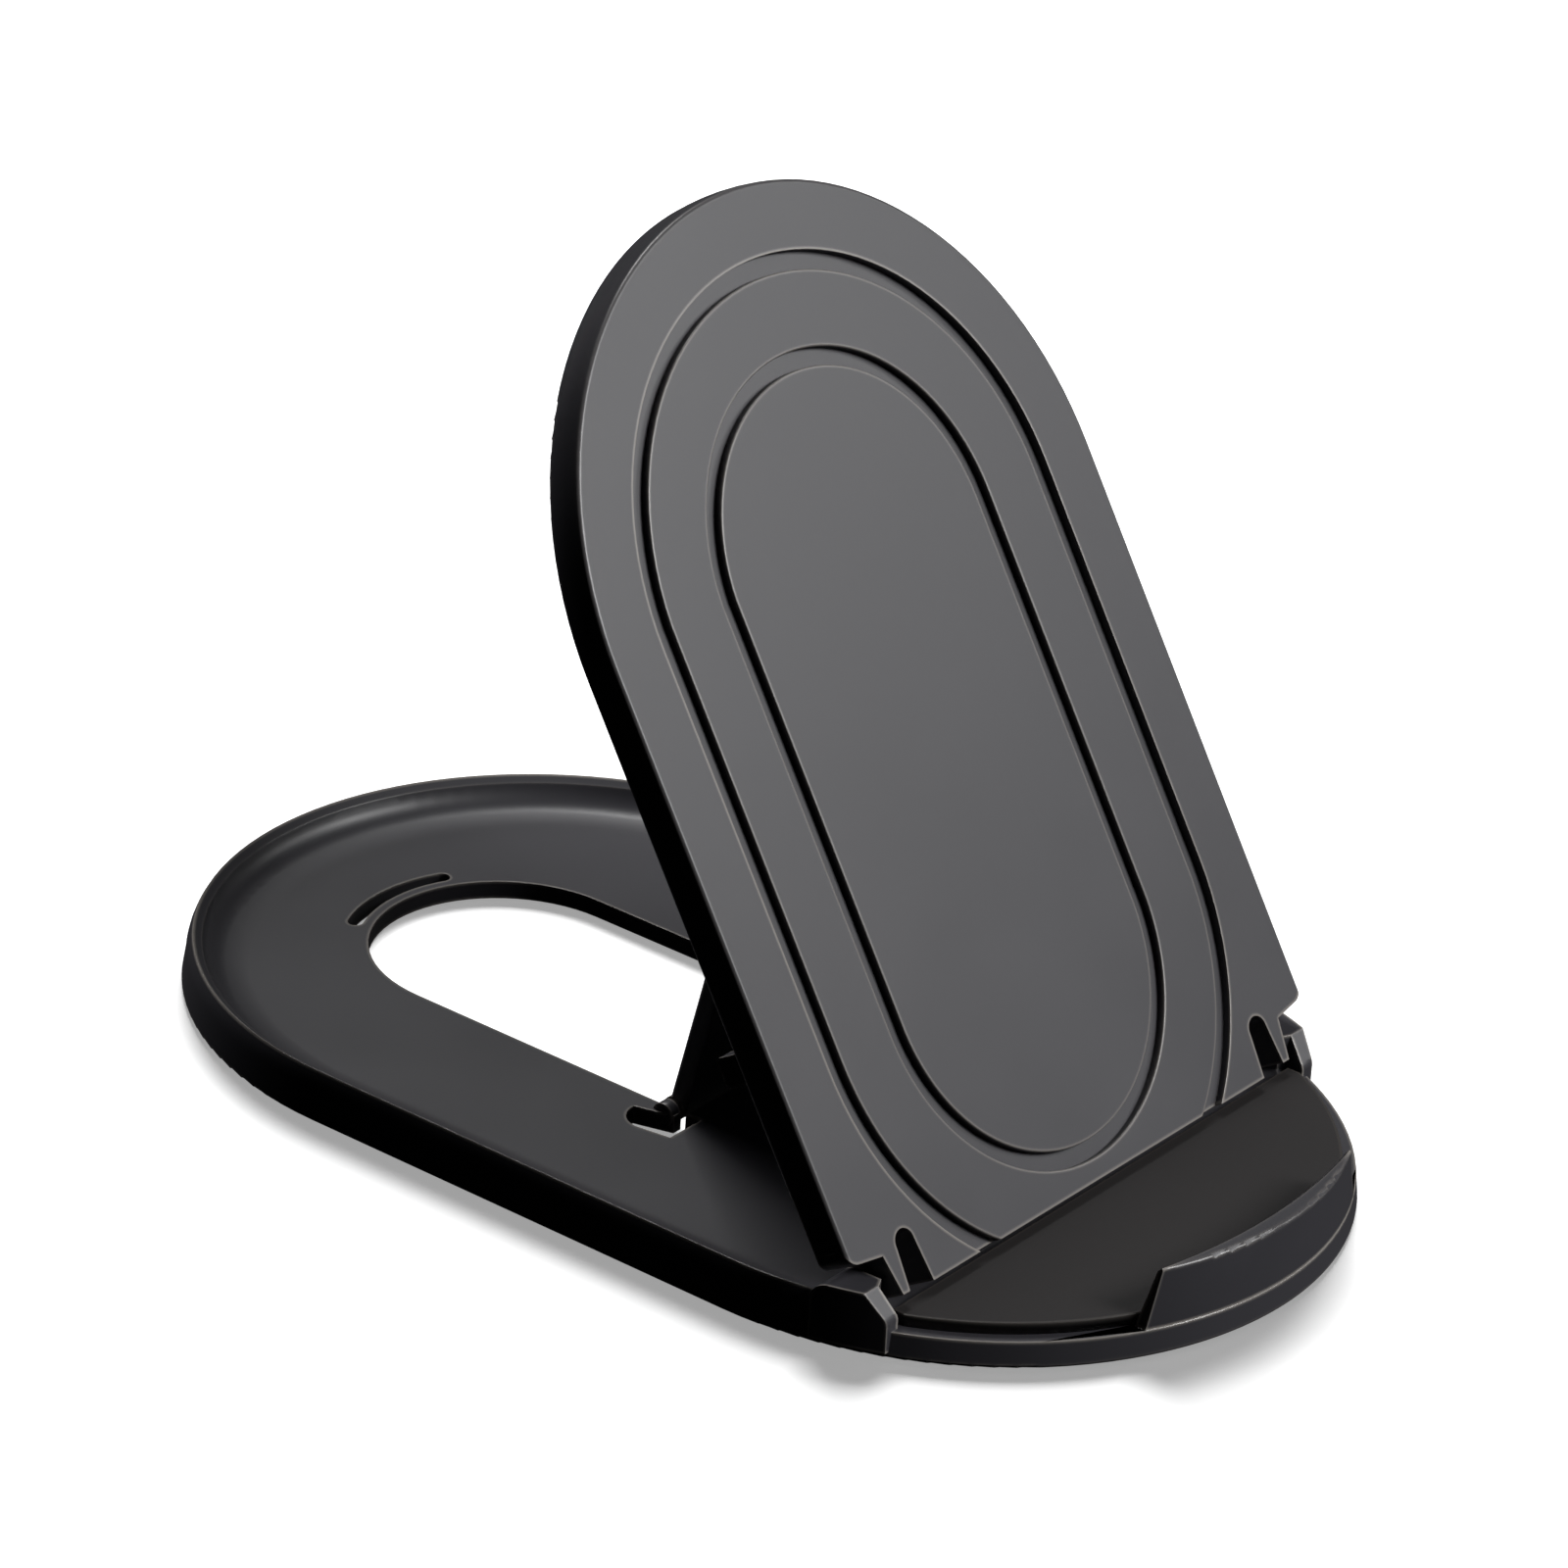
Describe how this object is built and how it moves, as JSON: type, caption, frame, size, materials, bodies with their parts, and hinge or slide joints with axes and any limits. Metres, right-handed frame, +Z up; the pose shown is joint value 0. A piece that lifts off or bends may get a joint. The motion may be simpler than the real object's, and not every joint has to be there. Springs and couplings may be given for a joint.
{
  "type": "folding phone stand",
  "caption": "Folding desk stand for a phone: oval tray base with a front ledge and lip, a tilting oval back plate and a strut that props it open.",
  "frame": {"origin": "middle of the base's outline, at the height of the table that the feet stand on", "axes": "+Z up; -Y is the front, with the ledge and lip, and the back plate leans back towards +Y; +X is the right of someone who faces the phone; drawn open at its working angle"},
  "size_m": [0.075, 0.125, 0.0894],
  "materials": {
    "tray_plastic": "satin moulded",
    "plate_plastic": "satin moulded",
    "strut_plastic": "satin moulded",
    "pad_rubber": "smooth satin",
    "ledge_rubber": "matt",
    "foot_rubber": "matt"
  },
  "bodies": {
    "base": {"base_tray": "tray_plastic", "ledge_pad": "ledge_rubber", "foot_front_left": "foot_rubber", "foot_front_right": "foot_rubber", "foot_rear_left": "foot_rubber", "foot_rear_right": "foot_rubber"},
    "back": {"back_plate": "plate_plastic", "ring_pad": "pad_rubber", "centre_pad": "pad_rubber"},
    "prop": {"strut": "strut_plastic"}
  },
  "joints": [
    {"name": "plate_fold", "type": "hinge", "parent": "base", "child": "back", "pos_m": [0, -0.03606, 0.00526], "axis": [1, 0, 0], "range_deg": [-58.08, 0]},
    {"name": "strut_fold", "type": "hinge", "parent": "base", "child": "prop", "pos_m": [0, 0, 0.0019], "axis": [1, 0, 0], "range_deg": [-102.3, 0]}
  ],
  "couplings": [
    {"joint": "strut_fold", "follows": "plate_fold", "ratio": 1.7614}
  ]
}
